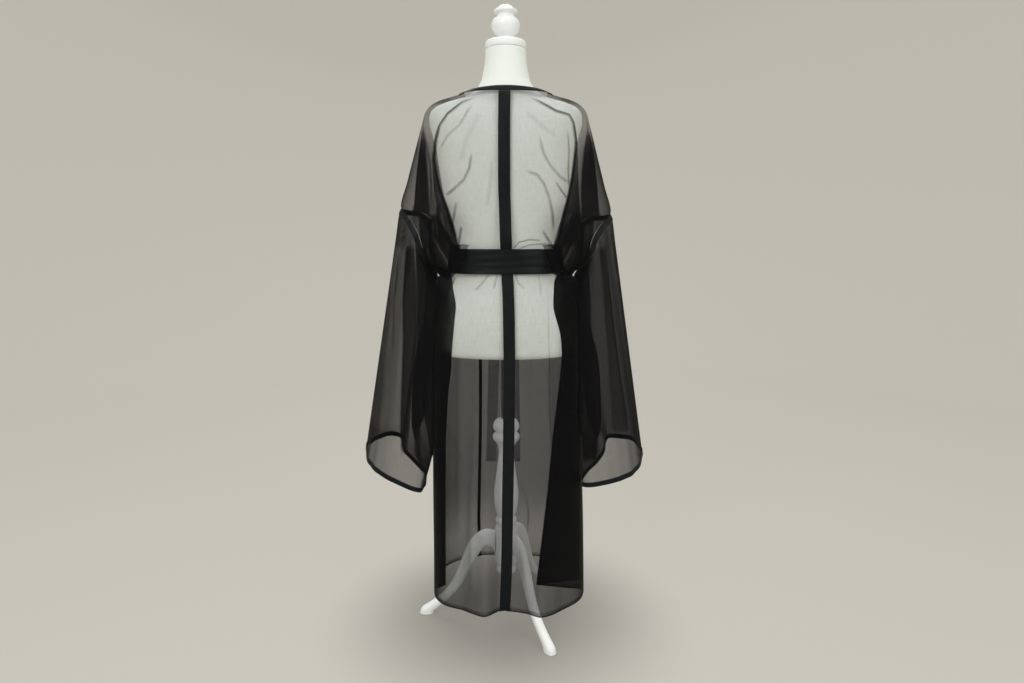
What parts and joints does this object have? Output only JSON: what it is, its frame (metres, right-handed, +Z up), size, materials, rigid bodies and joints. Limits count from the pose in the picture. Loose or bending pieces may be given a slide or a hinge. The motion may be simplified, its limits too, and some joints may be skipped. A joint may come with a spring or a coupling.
{
  "type": "sheer robe with sash on a limbless dress form",
  "caption": "Open long robe of sheer cloth with wide hanging sleeves, satin bindings and a tied sash, standing on a limbless dress form with turned column and curved legs.",
  "frame": {"origin": "on the floor under the middle of the object's box, 4.5 mm from the stand's axis towards +X", "axes": "+Z up, the robe's front faces -Y, the wearer's left is +X"},
  "size_m": [0.7168, 0.4004, 1.532],
  "materials": {
    "organza": "sheer crisp plain weave, black",
    "satin": "black satin, soft sheen",
    "form_cloth": "smooth off-white jersey cover",
    "painted_wood": "white satin paint on turned wood",
    "pole_metal": "brushed tube"
  },
  "bodies": {
    "root": {"back_left": "organza", "back_right": "organza", "front_left": "organza", "front_right": "organza", "sleeve_left": "organza", "sleeve_right": "organza", "band_centre_back": "satin", "band_neck": "satin", "band_front_left": "satin", "band_front_right": "satin", "band_armhole_left": "satin", "band_armhole_right": "satin", "band_cuff_left": "satin", "band_cuff_right": "satin", "sash": "satin", "sash_knot": "satin", "sash_tail_left": "satin", "sash_tail_right": "satin", "form_torso": "form_cloth", "form_neck_cap": "painted_wood", "form_finial": "painted_wood", "stand_column": "painted_wood", "stand_hub": "painted_wood", "stand_leg_1": "painted_wood", "stand_leg_2": "painted_wood", "stand_leg_3": "painted_wood", "stand_pole": "pole_metal"}
  },
  "joints": []
}
